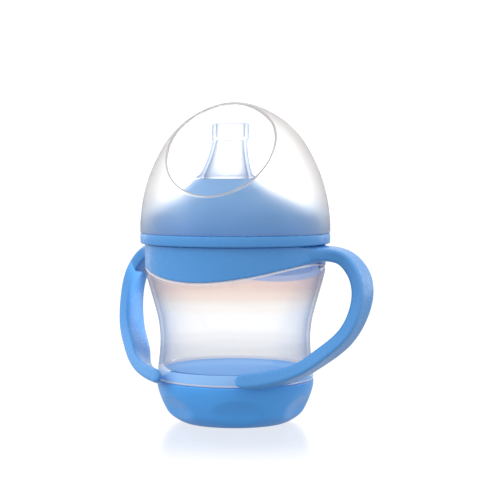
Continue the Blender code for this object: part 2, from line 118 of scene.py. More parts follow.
def fillet(points, radii, steps, closed=False):
    """Rounds the corners of a polyline whose radius is over 0; each gives steps + 1 points."""
    corners = [np.array(point, float) for point in points]
    count = len(corners)
    rounded = []
    for i, (corner, radius) in enumerate(zip(corners, radii)):
        if radius <= 0 or (not closed and i in (0, count - 1)):
            rounded.append(corner)
            continue
        back = corners[(i - 1) % count] - corner
        ahead = corners[(i + 1) % count] - corner
        back_length, ahead_length = np.linalg.norm(back), np.linalg.norm(ahead)
        back, ahead = back / back_length, ahead / ahead_length
        angle = math.acos(max(-1.0, min(1.0, float(back @ ahead))))
        cut = radius / max(1e-6, math.tan(angle / 2))
        cut = min(cut, 0.49 * back_length, 0.49 * ahead_length)
        for k in range(steps + 1):
            # a quadratic arc between the two tangent points
            t = k / steps
            rounded.append((1 - t) ** 2 * (corner + back * cut) + 2 * t * (1 - t) * corner
                           + t ** 2 * (corner + ahead * cut))
    return np.array(rounded)


# ---------------------------------------------------------------- sections and meshes
def oval_section(angle, rows, steps=3, closed=False, power_at=lambda z: 1.0):
    """The column of points at this angle. Rows: half-width, half-depth, z, shift to -Y, fillet.
    power_at gives, by height, the power that squares the ovals off."""
    points = []
    for half_width, half_depth, z, forward, _ in rows:
        power = power_at(z)
        points.append((half_width * signed_power(math.sin(angle), power),
                       -forward - half_depth * signed_power(math.cos(angle), power), z))
    return fillet(points, [row[-1] for row in rows], steps, closed)


def round_rows(rows):
    """Oval rows from rows of radius, z, fillet."""
    return [(radius, radius, z, 0.0, rounding) for radius, z, rounding in rows]


def lathe(section, count):
    return [section(2.0 * math.pi * i / count) for i in range(count)]


def grid_mesh(columns, poles=False, kinds=None):
    """Skins equal columns of points that go once round the axis.
    With poles, all columns share their first point and their last; otherwise each is a loop.
    kinds gives a material index for each step along a column."""
    columns = np.array(columns)
    count = columns.shape[1]
    bm = bmesh.new()
    shared = {}
    grid = []
    for column in columns:
        line = []
        for j, point in enumerate(column):
            if poles and j in (0, count - 1):
                if j not in shared:
                    shared[j] = bm.verts.new(columns[:, j].mean(0) * MM)
                line.append(shared[j])
            else:
                line.append(bm.verts.new(point * MM))
        grid.append(line)
    for here, beside in zip(grid, grid[1:] + grid[:1]):
        for j in range(count - 1 if poles else count):
            k = (j + 1) % count
            # at a pole the quad loses its doubled corner
            face = bm.faces.new(list(dict.fromkeys((here[j], beside[j], beside[k], here[k]))))
            if kinds is not None:
                face.material_index = kinds[j]
    bmesh.ops.recalc_face_normals(bm, faces=bm.faces[:])
    return bm


def mesh_object(name, bm, materials=()):
    mesh = bpy.data.meshes.new(name)
    bm.to_mesh(mesh)
    bm.free()
    obj = bpy.data.objects.new(name, mesh)
    bpy.context.scene.collection.objects.link(obj)
    for material in materials:
        mesh.materials.append(material)
    return obj


def smooth_object(name, bm, materials, sharp_degrees):
    obj = mesh_object(name, bm, materials)
    obj.data.shade_smooth()
    obj.data.set_sharp_from_angle(angle=math.radians(sharp_degrees))
    return obj


def settle(obj, node):
    """Centres a mesh on its CAD node's box, with its lowest point at the foot of the box."""
    low, high = (np.array(corner, float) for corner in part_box(node))
    points = np.array([v.co for v in obj.data.vertices])
    mesh_low, mesh_high = points.min(0), points.max(0)
    move = 0.5 * (low + high) - 0.5 * (mesh_low + mesh_high)
    move[2] = low[2] - mesh_low[2]
    obj.data.transform(Matrix.Translation(Vector(move)))


def register(obj, body, node):
    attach(obj, body)
    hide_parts(node)


def finish_piece(name, bm, materials, *, body, node, sharp):
    obj = smooth_object(name, bm, materials, sharp)
    settle(obj, node)
    register(obj, body, node)


# ---------------------------------------------------------------- shared design rules
THREAD_PITCH = 4.0
THREAD_FOOT = 1.15          # half-height of a screw ridge where it meets the wall
THREAD_FLANK = 0.70         # height of each of its sloping sides
THREAD_STEP = 0.2


def band_edge(angle):
    """Height of the wavy lower edge of the handle band."""
    return 63.7 + 0.8 * math.cos(angle) - 3.85 * math.cos(2.0 * angle)


def thread(angle, z, start, turns):
    """Height, 0 to 1, of a screw ridge on a cylinder at this angle and level."""
    height = 0.0
    for k in range(-1, 3):
        t = (angle / (2 * math.pi) + k) / turns
        if 0.0 <= t <= 1.0:
            fade = smooth(min(t, 1 - t) * turns * 9.0)
            off_centre = abs(z - (start + THREAD_PITCH * turns * t))
            height = max(height, fade * smooth((THREAD_FOOT - off_centre) / THREAD_FLANK))
    return height


def thread_rows(angle, levels, *, radius, height, start, turns):
    """Round rows of a threaded wall; a negative height points to the axis."""
    return [(radius + height * thread(angle, z, start, turns), z, 0.0) for z in levels]


# ---------------------------------------------------------------- bottle
BODY = [  # radius, z of the outside
    (33.0, 18.2), (32.75, 21.0), (32.2, 26.0), (31.8, 30.0), (31.6, 34.0), (31.65, 37.0),
    (31.95, 40.0), (32.45, 43.4), (33.25, 46.8), (34.2, 50.2), (35.15, 53.5), (36.15, 56.9),
    (37.1, 60.3), (37.9, 64.0), (38.0, 70.0)]
BODY_CURVE = catmull(BODY, 200)
BOTTLE_WALL = 1.6
LIP_RADIUS = 37.9
LIP_DROP = 1.3              # from the band's edge down to the top of the outer body
INNER_LIP_DROP = 2.6        # the same on the inside
FLARE_START = 48.0          # above this the body widens to the lip
SHOULDER = 50.0             # above this the rows follow the wavy edge
SHELF_RADIUS = 35.9         # under the band
NECK_RADIUS = 33.6
NECK_BORE = 31.9
NECK_TOP = 82.7
SHOULDER_BORE = 34.3

BOTTLE_FOOT = [  # radius, z, fillet: the underside, with a skirt round it
    (0.0, 20.3, 0.0), (12.0, 20.3, 0.0), (24.0, 20.3, 0.0), (28.1, 20.3, 0.5),
    (29.3, 19.5, 0.5), (29.3, 16.0, 0.0), (29.3, 12.6, 0.3), (30.9, 12.6, 0.4),
    (30.9, 15.0, 0.0), (30.9, 18.2, 0.25), (32.95, 18.2, 0.45)]
BOTTLE_FLOOR = [  # radius, z, fillet: the inside
    (30.4, 23.9, 0.0), (29.3, 22.8, 0.0), (27.6, 22.3, 0.0), (22.0, 22.3, 0.0),
    (12.0, 22.3, 0.0), (0.0, 22.3, 0.0)]


def body_radius(z, angle):
    radii, levels = BODY_CURVE.T
    lip = band_edge(angle) - LIP_DROP
    lip_radius = float(np.interp(lip, levels, radii))
    flare = (LIP_RADIUS - lip_radius) * smooth((z - FLARE_START) / (lip - FLARE_START))
    return float(np.interp(z, levels, radii)) + flare


def body_rows(angle, levels, wall=0.0):
    return [(body_radius(z, angle) - wall, z, 0.0) for z in levels]


def bottle_section(angle):
    edge = band_edge(angle)

    def shoulder(drop, shares):
        return [SHOULDER + (edge - drop - SHOULDER) * share for share in shares]

    rows = BOTTLE_FOOT + body_rows(angle, np.linspace(19.0, SHOULDER, 40))
    rows += body_rows(angle, shoulder(LIP_DROP, np.linspace(0.08, 0.96, 14)))
    rows += [(37.85, edge - 0.35, 0.55), (SHELF_RADIUS, edge - 0.3, 0.3),
             (SHELF_RADIUS, 70.5, 0.0), (SHELF_RADIUS, 73.9, 0.7), (NECK_RADIUS, 74.0, 0.5)]
    rows += thread_rows(angle, np.arange(74.7, 82.0, THREAD_STEP),
                        radius=NECK_RADIUS, height=1.3, start=76.4, turns=1.2)
    rows += [(NECK_RADIUS, NECK_TOP, 0.4), (NECK_BORE, NECK_TOP, 0.4), (NECK_BORE, 79.0, 0.0),
             (NECK_BORE, 75.3, 0.8), (SHOULDER_BORE, 72.4, 0.8),
             (SHOULDER_BORE, edge - 0.1, 0.9)]
    rows += body_rows(angle, shoulder(INNER_LIP_DROP, np.linspace(1.0, 0.1, 14)), BOTTLE_WALL)
    rows += body_rows(angle, np.linspace(SHOULDER, 25.4, 34), BOTTLE_WALL)
    return oval_section(angle, round_rows(rows + BOTTLE_FLOOR))


def bottle_material(face):
    """The material of a bottle face, from its place and the way it faces."""
    centre = face.calc_center_median() / MM
    outward = centre.x * face.normal.x + centre.y * face.normal.y
    z = centre.z
    radius = math.hypot(centre.x, centre.y)
    lip = band_edge(math.atan2(centre.x, -centre.y))
    if (z < 24.0 and radius < 28.8) or (radius < 31.2 and z < 20.5):
        return FLOOR_PP
    # painted light: the bottle's low outer wall, where the base's shaded inside would show dark,
    # is painted a light blue
    if 18.8 <= z < 22.6 and radius > 31.5:
        return FOOT_PAINTED_LIGHT_PP
    # painted light: the shaded inner face of the back wall under the band is painted a lit pale
    # blue
    if outward < 0.0 and z > lip - 2.8 and radius < 36.4 and z < 76.0:
        return NECK_PAINTED_LIGHT_PP
    # painted highlights: bright peach-white lines painted along the lip, the foot's edge and the
    # floor's edge
    at_lip = radius > 36.6 and lip - 0.85 < z < lip + 0.2
    at_foot_edge = radius > 31.5 and z < 18.8
    at_floor_edge = 28.8 < radius < 30.3 and 22.3 < z < 23.8
    if at_lip or at_foot_edge or at_floor_edge:
        return EDGE_HIGHLIGHT_PP
    return BOTTLE_IN if outward < 0.0 else BOTTLE


def build_bottle():
    bm = grid_mesh(lathe(bottle_section, WALL_STEPS), poles=True)
    slots = [BOTTLE, BOTTLE_IN, FLOOR_PP, EDGE_HIGHLIGHT_PP, FOOT_PAINTED_LIGHT_PP, NECK_PAINTED_LIGHT_PP]
    for face in bm.faces:
        face.material_index = slots.index(bottle_material(face))
    finish_piece("bottle_wall", bm, slots, body="bottle", node="bottle",
                 sharp=40)


# ---------------------------------------------------------------- base cup
BOWL = [  # radius, z of the outside
    (21.9, 0.0), (23.9, 0.9), (26.4, 2.4), (28.5, 4.4), (29.95, 7.0), (31.3, 10.0),
    (32.3, 13.0), (32.9, 15.5), (33.05, 17.4)]
BOWL_CURVE = catmull(BOWL, 80)
BASE_UNDERSIDE = [  # radius, z, fillet
    (0.0, 1.2, 0.0), (9.0, 1.2, 0.0), (17.6, 1.2, 0.6), (18.4, 0.0, 0.35), (20.2, 0.0, 0.0)]
BASE_INSIDE = [  # radius, z, fillet: over the rim, into a step and down to the floor
    (33.05, 17.9, 0.45), (31.2, 17.9, 0.3), (31.2, 15.0, 0.0), (31.2, 12.3, 0.3),
    (28.7, 12.3, 0.3), (28.7, 15.5, 0.0), (28.7, 18.7, 0.4), (28.1, 19.9, 0.3),
    (27.0, 19.9, 0.3), (27.0, 15.0, 0.0), (27.0, 9.5, 0.0), (26.3, 6.6, 0.0),
    (24.2, 4.6, 0.0), (21.0, 3.6, 0.0), (10.0, 3.3, 0.0), (0.0, 3.2, 0.0)]

DIMPLE_ANGLES = [math.radians(30.0 + 60.0 * k) for k in range(6)]
DIMPLE_DEPTH = 2.0
DIMPLE_Z = 6.8
DIMPLE_HALF_WIDTH = 9.2
DIMPLE_HALF_HEIGHT = 4.9
DIMPLE_BOWL_RADIUS = 30.5   # turns angles into widths
DIMPLE_REACH = 1.6          # squared distance, in half sizes, at which a dimple ends


def dimple(angle, z):
    """Depth of the finger dimples at this point of the bowl."""
    depth = 0.0
    for centre in DIMPLE_ANGLES:
        turn = (angle - centre + math.pi) % (2 * math.pi) - math.pi
        across = turn * DIMPLE_BOWL_RADIUS / DIMPLE_HALF_WIDTH
        up = (z - DIMPLE_Z) / DIMPLE_HALF_HEIGHT
        inside = max(0.0, 1.0 - (across * across + up * up) / DIMPLE_REACH)
        depth = max(depth, DIMPLE_DEPTH * inside ** 1.45)
    return depth


def base_section(angle):
    bowl = [(radius - dimple(angle, z), z, 0.0) for radius, z in BOWL_CURVE[1:-1]]
    return oval_section(angle, round_rows(BASE_UNDERSIDE + bowl + BASE_INSIDE))


def build_base():
    bm = grid_mesh(lathe(base_section, BASE_STEPS), poles=True)
    finish_piece("base_cup_shell", bm, [BASE_BLUE], body="base", node="base_cup",
                 sharp=40)


# ---------------------------------------------------------------- collar
COLLAR_BORE = 35.45
COLLAR_SKIRT = [  # radius, z, fillet
    (COLLAR_BORE, 75.1, 0.5), (39.9, 75.1, 0.75), (40.0, 77.5, 0.0), (39.95, 79.45, 0.55),
    (38.3, 79.45, 0.3), (38.3, 81.0, 0.0)]
DOME = [  # half-width, half-depth, z, shift to -Y
    (38.3, 38.3, 83.0, 0.0), (37.6, 37.6, 85.2, 0.1), (35.6, 35.5, 87.4, 0.4),
    (31.6, 31.3, 90.2, 1.3), (27.0, 26.6, 93.1, 2.7), (22.0, 21.4, 96.0, 4.4),
    (17.6, 16.8, 98.6, 6.1), (15.0, 13.9, 100.4, 7.3), (13.6, 12.2, 101.5, 8.0)]
DOME_CURVE = catmull(DOME, 34)
DOME_INSET = 1.0            # from the outer dome to the inner, sideways
DOME_DROP = 2.1             # and down
HOLE_SHIFT = 8.2
COLLAR_HOLE = [  # half-width, half-depth, z, shift to -Y, fillet
    (12.95, 11.4, 101.8, HOLE_SHIFT, 0.3), (11.6, 10.0, 101.8, HOLE_SHIFT, 0.35),
    (11.6, 10.0, 100.6, HOLE_SHIFT, 0.0), (11.6, 10.0, 99.6, HOLE_SHIFT, 0.2),
    (15.2, 13.8, 98.2, 7.2, 0.3)]
COLLAR_LEDGE = [(31.2, 84.85, 0.3), (31.2, 84.25, 0.15), (COLLAR_BORE, 84.25, 0.2)]
DOME_MATERIAL_START = 79.5  # z above which the collar takes the dome material


def collar_section(angle):
    threads = thread_rows(angle, np.arange(83.6, 76.4, -THREAD_STEP),
                          radius=COLLAR_BORE, height=-1.4, start=78.4, turns=1.0)
    under_dome = [(half_width - DOME_INSET, half_depth - DOME_INSET, z - DOME_DROP, forward, 0.0)
                  for half_width, half_depth, z, forward in DOME[5:1:-1]]
    rows = round_rows(COLLAR_SKIRT) + [(*row, 0.0) for row in DOME_CURVE] + COLLAR_HOLE
    rows += under_dome + round_rows(COLLAR_LEDGE + threads)
    return oval_section(angle, rows, closed=True)


def build_collar():
    bm = grid_mesh(lathe(collar_section, WALL_STEPS))
    for face in bm.faces:
        # the dome part of the collar takes the brightened blue, painted light
        if face.calc_center_median().z > DOME_MATERIAL_START * MM:
            face.material_index = 1
    finish_piece("collar_ring", bm, [BLUE, DOME_BLUE_BRIGHTENED], body="collar", node="collar",
                 sharp=40)


# ---------------------------------------------------------------- spout
# Tables with five columns: half-width, half-depth, z, shift to -Y, fillet; curves have no fillet
SPOUT_FLANGES = [
    (11.8, 10.2, 96.4, 8.0, 0.3), (14.2, 12.6, 96.4, 7.8, 0.4), (14.5, 12.9, 97.8, 7.8, 0.4),
    (11.2, 9.6, 99.1, 8.2, 0.3), (11.2, 9.6, 102.1, 8.2, 0.25), (13.2, 11.4, 102.1, 8.2, 0.3)]
SPOUT_NECK = catmull([
    (13.0, 11.1, 102.6, 8.2), (11.6, 9.3, 103.7, 7.9), (10.3, 7.6, 106.2, 7.2),
    (9.2, 6.2, 109.6, 6.4), (8.3, 5.1, 113.6, 5.5), (7.7, 4.5, 117.6, 4.6)], 26)
SPOUT_TIP = [
    (8.3, 5.0, 118.3, 4.5, 0.35), (8.25, 4.9, 121.3, 4.2, 0.0), (8.2, 4.8, 124.9, 3.95, 0.7),
    (6.6, 3.3, 125.0, 3.9, 0.5), (6.6, 3.3, 122.0, 4.2, 0.0), (6.6, 3.3, 119.3, 4.4, 0.4),
    (4.6, 1.8, 119.2, 4.45, 0.0), (2.6, 0.25, 119.3, 4.4, 0.05), (2.6, 0.25, 117.9, 4.6, 0.05),
    (4.4, 1.7, 117.9, 4.6, 0.0), (6.2, 3.2, 117.9, 4.65, 0.5)]
SPOUT_CAVITY = catmull([
    (6.5, 3.4, 116.4, 4.9), (6.8, 3.7, 113.6, 5.5), (7.7, 4.8, 109.6, 6.4),
    (8.7, 6.0, 106.2, 7.2), (9.6, 7.8, 103.0, 8.0), (9.7, 8.1, 98.6, 8.2)], 24)
SPOUT_ROWS = (SPOUT_FLANGES + [(*row, 0.0) for row in SPOUT_NECK] + SPOUT_TIP
              + [(*row, 0.0) for row in SPOUT_CAVITY])


def spout_power(z):
    """Squares the ovals off gradually above the flanges."""
    return 2.0 / (2.0 + 0.35 * smooth((z - 102.6) / 8.0))


def spout_section(angle):
    return oval_section(angle, SPOUT_ROWS, closed=True, power_at=spout_power)


def build_spout():
    bm = grid_mesh(lathe(spout_section, SPOUT_STEPS))
    finish_piece("spout_soft", bm, [SILICONE], body="collar", node="spout",
                 sharp=60)


# ---------------------------------------------------------------- neck seal
SEAL_MIDDLE = 83.5
SEAL_LOWER = [  # radius, z, fillet: the lower side, with a small groove
    (31.95, 82.95, 0.25), (33.2, 82.95, 0.1), (33.5, 83.12, 0.1), (33.8, 82.95, 0.1),
    (35.1, 82.95, 0.25)]
SEAL_UPPER = [(radius, 2 * SEAL_MIDDLE - z, rounding)
              for radius, z, rounding in reversed(SEAL_LOWER)]


def seal_section(angle):
    return oval_section(angle, round_rows(SEAL_LOWER + SEAL_UPPER), steps=2, closed=True)


def build_seal():
    bm = grid_mesh(lathe(seal_section, SEAL_STEPS))
    finish_piece("neck_seal_ring", bm, [SEAL], body="seal", node="neck_seal",
                 sharp=60)


# ---------------------------------------------------------------- dust cover
COVER = [  # radius, z of the outside, from the rim up
    (40.0, 79.7), (39.9, 84.5), (39.45, 89.0), (39.0, 92.4), (38.3, 95.7), (37.5, 99.1),
    (36.45, 102.5), (35.2, 105.8), (33.75, 109.2), (32.0, 112.6), (30.1, 115.9),
    (27.8, 119.3), (25.0, 122.6), (21.4, 126.0), (16.5, 129.3), (12.4, 131.4), (7.4, 133.2),
    (3.6, 134.0), (0.0, 134.25)]
COVER_RIM_RADIUS, COVER_RIM_Z = COVER[0]
COVER_WALL = 1.3
COVER_CORE = np.array([0.0, 0.0, 95.0])     # the point the surfaces are measured from

# The flat window: its axes, and its outer face's distance from the core
WINDOW_AZIMUTH, WINDOW_TILT = math.radians(10.0), math.radians(42.4)
WINDOW_NORMAL = np.array([math.sin(WINDOW_AZIMUTH) * math.cos(WINDOW_TILT),
                          -math.cos(WINDOW_AZIMUTH) * math.cos(WINDOW_TILT),
                          math.sin(WINDOW_TILT)])
WINDOW_ACROSS = np.array([math.cos(WINDOW_AZIMUTH), math.sin(WINDOW_AZIMUTH), 0.0])
WINDOW_UP = np.cross(WINDOW_NORMAL, WINDOW_ACROSS)
WINDOW_DISTANCE = 28.6

# Shares of the way from the window's middle to its edge, and from there to the rim
WINDOW_SHARES = [0.0, 0.25, 0.5, 0.72, 0.88, 0.965, 0.976]
DOME_SHARES = [0.009, 0.022] + list(np.linspace(0.05, 0.94, 52)) + [0.975]
COVER_FILLET_STEPS = 4
FROSTED_SLOT, WINDOW_SLOT, EDGE_SLOT, FROSTED_IN_SLOT = range(4)


def cover_profiles():
    """The outer and inner profiles, each as elevations and distances seen from the core."""
    # the curve runs past the axis so that the top is level, and is then cut there
    outer = catmull(COVER + [(-3.6, 134.0)], 420)
    outer = outer[outer[:, 0] > -1e-6]
    outer[-1, 0] = 0.0
    along = np.gradient(outer, axis=0)
    along /= np.linalg.norm(along, axis=1)[:, None]
    # the profile runs up from the rim, so the inside is to its left
    inner = outer + COVER_WALL * np.stack([-along[:, 1], along[:, 0]], 1)
    inner[-1, 0] = 0.0
    return [(np.arctan2(curve[:, 1] - COVER_CORE[2], curve[:, 0]),
             np.hypot(curve[:, 1] - COVER_CORE[2], curve[:, 0])) for curve in (outer, inner)]


def bisect(low, high, before):
    """The place between low and high where `before` stops being true."""
    for _ in range(40):
        middle = 0.5 * (low + high)
        if before(middle):
            low = middle
        else:
            high = middle
    return low


def shell_rows(profile, distance, turn):
    """One surface's points on the window, at the window's edge and from there to the rim."""
    elevations, distances = profile
    aside = math.cos(turn) * WINDOW_ACROSS + math.sin(turn) * WINDOW_UP

    def direction(lean):
        return math.cos(lean) * WINDOW_NORMAL + math.sin(lean) * aside

    def reach(lean):
        elevation = math.asin(max(-1, min(1, direction(lean)[2])))
        return float(np.interp(elevation, elevations, distances))

    edge = bisect(0.0, 1.45, lambda lean: reach(lean) * math.cos(lean) > distance)
    rim_sine = math.sin(elevations[0])
    rim = bisect(edge, math.pi, lambda lean: direction(lean)[2] > rim_sine)
    size = distance * math.tan(edge)
    middle = COVER_CORE + WINDOW_NORMAL * distance
    window = [middle + aside * size * share for share in WINDOW_SHARES]
    leans = [edge + (rim - edge) * share for share in DOME_SHARES]
    dome = [COVER_CORE + direction(lean) * reach(lean) for lean in leans]
    return window, middle + aside * size, dome


def cover_column(outer, inner, turn):
    window, corner, dome = shell_rows(outer, WINDOW_DISTANCE, turn)
    window_in, corner_in, dome_in = shell_rows(inner, WINDOW_DISTANCE - COVER_WALL, turn)
    x, y = dome[-1][:2] / np.hypot(*dome[-1][:2])
    # the wall drops straight to its flat lower edge
    rim = [np.array([x * radius, y * radius, COVER_RIM_Z])
           for radius in (COVER_RIM_RADIUS, COVER_RIM_RADIUS - COVER_WALL)]
    points = window + [corner] + dome + rim + dome_in[::-1] + [corner_in] + window_in[::-1]
    radii = ([0] * len(window) + [0.30] + [0] * len(dome) + [0.5, 0.3]
             + [0] * len(dome) + [0.4] + [0] * len(window))
    return fillet(points, radii, COVER_FILLET_STEPS)


def build_cover():
    outer, inner = cover_profiles()
    columns = lathe(lambda turn: cover_column(outer, inner, turn), WALL_STEPS)
    pane = [WINDOW_SLOT] * (len(WINDOW_SHARES) - 1)
    start = pane + [EDGE_SLOT] * (COVER_FILLET_STEPS + 2)
    frosted = [FROSTED_SLOT] * (len(columns[0]) - 1 - len(start) - len(pane))
    bm = grid_mesh(columns, poles=True, kinds=start + frosted + pane)
    for face in bm.faces:
        centre = face.calc_center_median() / MM
        outward = face.normal.dot(centre - Vector(COVER_CORE))
        if face.material_index == FROSTED_SLOT and outward < 0.0:
            face.material_index = FROSTED_IN_SLOT
    finish_piece("dust_cover_dome", bm, [FROSTED, WINDOW, RIM, FROSTED_IN], body="cover",
                 node="dust_cover", sharp=60)


# ---------------------------------------------------------------- handle ring
# B-spline control points of the strap at +X, from the band to the free tip: one edge of
# the strap, and from it the vectors across its width and through its thickness
STRAP_EDGE = [(37.6, 0.7, 69.5), (44.6, 2.4, 69.4), (49.2, 3.1, 64.8), (52.0, 2.5, 59.5),
              (53.2, 1.1, 52.3), (51.2, -4.8, 40.6), (43.3, -13.0, 33.5), (35.3, -23.2, 25.0),
              (22.1, -31.8, 24.3)]
STRAP_WIDTH = [(-0.9, 8.0, 0.1), (-1.4, 10.6, 0.7), (0.0, 13.0, 0.4), (1.0, 13.4, -1.8),
               (-0.2, 11.7, -4.5), (-3.6, 10.2, -5.9), (-5.5, 8.3, -5.3), (-3.6, 6.2, -3.0),
               (0.2, 4.2, -1.5)]
STRAP_THICK = [(0.1, -0.1, 4.9), (2.2, 0.3, 4.6), (4.0, 0.3, 3.2), (4.6, -0.1, 1.3),
               (4.6, 0.2, -0.2), (4.4, 0.5, -2.1), (4.1, -0.4, -3.4), (1.9, -0.5, -4.9),
               (-3.1, -3.4, -5.3)]
STRAP_SECTIONS = 150
STRAP_AROUND = 56
STRAP_SQUARING = 0.36       # power that squares the cross-section off
STRAP_TIP_SECTIONS = 16
STRAP_TIP_REACH = 4.6
STRAP_TIP_SINK = 0.8        # how far back the rounded tip starts
ROOT_SHIFT = np.array([-0.5, -3.2, -0.3])   # of the strap's middle where it flares
BAND_RADIUS, BAND_BORE, BAND_TOP = 38.05, 36.2, 75.0


def band_section(angle):
    edge = band_edge(angle)
    rows = [(BAND_RADIUS, edge, 0.55), (BAND_RADIUS, edge + 3.0, 0.0),
            (BAND_RADIUS, BAND_TOP, 0.25), (BAND_BORE, BAND_TOP, 0.2), (BAND_BORE, edge, 0.3)]
    return oval_section(angle, round_rows(rows), steps=4, closed=True)


def strap_rings(side):
    """Cross-sections of a strap; side is 1 for +X and -1 for -X."""
    end = bspline(STRAP_EDGE, 1.0) - bspline(STRAP_EDGE, 0.98)
    end /= np.linalg.norm(end)
    # place along the strap, shrinking of the section, length beyond the end
    stations = [(t, 0.0, 0.0) for t in np.linspace(0.0, 0.985, STRAP_SECTIONS)]
    for k in range(STRAP_TIP_SECTIONS):
        bend = 0.5 * math.pi * k / (STRAP_TIP_SECTIONS - 1)
        beyond = STRAP_TIP_REACH * math.sin(bend) - STRAP_TIP_SINK
        stations.append((1.0, 1.0 - math.cos(bend), beyond))
    rings = []
    for t, inset, beyond in stations:
        width, thick = bspline(STRAP_WIDTH, t), bspline(STRAP_THICK, t)
        centre = bspline(STRAP_EDGE, t) + 0.5 * width + 0.5 * thick + end * beyond
        # near the tip the section turns square to the end direction
        thick = thick - smooth((t - 0.82) / 0.18) * float(thick @ end) * end
        centre = centre - 0.06 * thick
        flare = max(0.0, 1.0 - t / 0.11) ** 2.2
        centre = centre + ROOT_SHIFT * flare
        width = width * (1.05 + 1.1 * flare) * 0.5 * (1.0 - 0.84 * inset)
        thick = thick * (1.12 + 0.16 * flare) * 0.5 * (1.0 - 0.92 * inset)
        ring = []
        for i in range(STRAP_AROUND):
            angle = 2 * math.pi * (i + 0.5) / STRAP_AROUND
            x, y, z = (centre + width * signed_power(math.cos(angle), STRAP_SQUARING)
                       + thick * signed_power(math.sin(angle), STRAP_SQUARING))
            ring.append((side * x, y, z))
        rings.append(ring)
    return rings


def build_strap(side):
    bm = bmesh.new()
    rings = [[bm.verts.new(Vector(point) * MM) for point in ring] for ring in strap_rings(side)]
    for ring, following in zip(rings, rings[1:]):
        for i in range(STRAP_AROUND):
            k = (i + 1) % STRAP_AROUND
            bm.faces.new((ring[i], ring[k], following[k], following[i]))
    bm.faces.new(rings[0][::-1])
    # the blunt tip closes to its middle
    tip = rings[-1]
    centre = bm.verts.new(sum((v.co for v in tip), Vector()) / len(tip))
    for i in range(STRAP_AROUND):
        bm.faces.new((tip[i], tip[(i + 1) % STRAP_AROUND], centre))
    bmesh.ops.recalc_face_normals(bm, faces=bm.faces[:])
    return mesh_object("strap", bm)


def apply_modifiers(obj):
    graph = bpy.context.evaluated_depsgraph_get()
    mesh = bpy.data.meshes.new_from_object(obj.evaluated_get(graph))
    obj.modifiers.clear()
    obj.data = mesh
    return mesh


def mesh_points(mesh):
    points = np.empty(len(mesh.vertices) * 3)
    mesh.vertices.foreach_get("co", points)
    return points.reshape(-1, 3)


def relax(mesh, weights, rounds, pull=0.0):
    """Rounds of averaging with the neighbours. pull is the share put back to keep the volume."""
    points = mesh_points(mesh)
    count = len(points)
    edges = np.empty(len(mesh.edges) * 2, int)
    mesh.edges.foreach_get("vertices", edges)
    edges = edges.reshape(-1, 2)
    starts, ends = edges.T
    degree = np.bincount(edges.ravel(), minlength=count)[:, None]
    weights = np.reshape(weights, (-1, 1))

    def step(points, share):
        total = np.stack([np.bincount(starts, axis[ends], count)
                          + np.bincount(ends, axis[starts], count) for axis in points.T], 1)
        return points + share * weights * (total / degree - points)

    for _ in range(rounds):
        points = step(points, 0.5)
        if pull:
            points = step(points, -pull)
    mesh.vertices.foreach_set("co", points.ravel())
    mesh.update()


def root_weight(points):
    """1 where a strap leaves the band, 0 away from it."""
    x, y, z = (points / MM).T
    radius = np.hypot(x, y)
    weight = np.clip((radius - 36.6) / 0.9, 0, 1) * np.clip((44.5 - radius) / 4.5, 0, 1)
    weight *= np.clip((15.0 - np.abs(y - 1.0)) / 5.0, 0, 1) * np.clip((z - 66.0) / 2.5, 0, 1)
    return weight


def build_handle_ring():
    ring = smooth_object("handle_ring_moulding", grid_mesh(lathe(band_section, RING_STEPS)),
                         [BLUE], sharp_degrees=50)
    straps = []
    for side in (1, -1):
        strap = build_strap(side)
        union = ring.modifiers.new("strap", "BOOLEAN")
        union.operation = "UNION"
        union.solver = "EXACT"
        union.object = strap
        straps.append(strap)
    joined = apply_modifiers(ring)
    true_surface = BVHTree.FromPolygons([v.co.copy() for v in joined.vertices],
                                        [list(face.vertices) for face in joined.polygons])
    skin = ring.modifiers.new("skin", "REMESH")
    skin.mode = "VOXEL"
    skin.voxel_size = RING_VOXEL * MM
    mesh = apply_modifiers(ring)
    for strap in straps:
        bpy.data.objects.remove(strap)

    relax(mesh, 1.0, rounds=4, pull=0.52)
    # away from the roots, the smoothed skin goes back onto the true surface
    points = mesh_points(mesh)
    roots = root_weight(points)
    for i, point in enumerate(points):
        if roots[i] < 1.0:
            spot = true_surface.find_nearest(Vector(point))[0]
            points[i] = point + (1.0 - roots[i]) * (np.array(spot) - point)
    mesh.vertices.foreach_set("co", points.ravel())
    relax(mesh, 1.0, rounds=2, pull=0.52)
    relax(mesh, root_weight(mesh_points(mesh)), rounds=26)

    mesh.materials.clear()
    mesh.materials.append(BLUE)
    mesh.polygons.foreach_set("material_index", [0] * len(mesh.polygons))
    mesh.shade_smooth()
    register(ring, "bottle", "handle_ring")


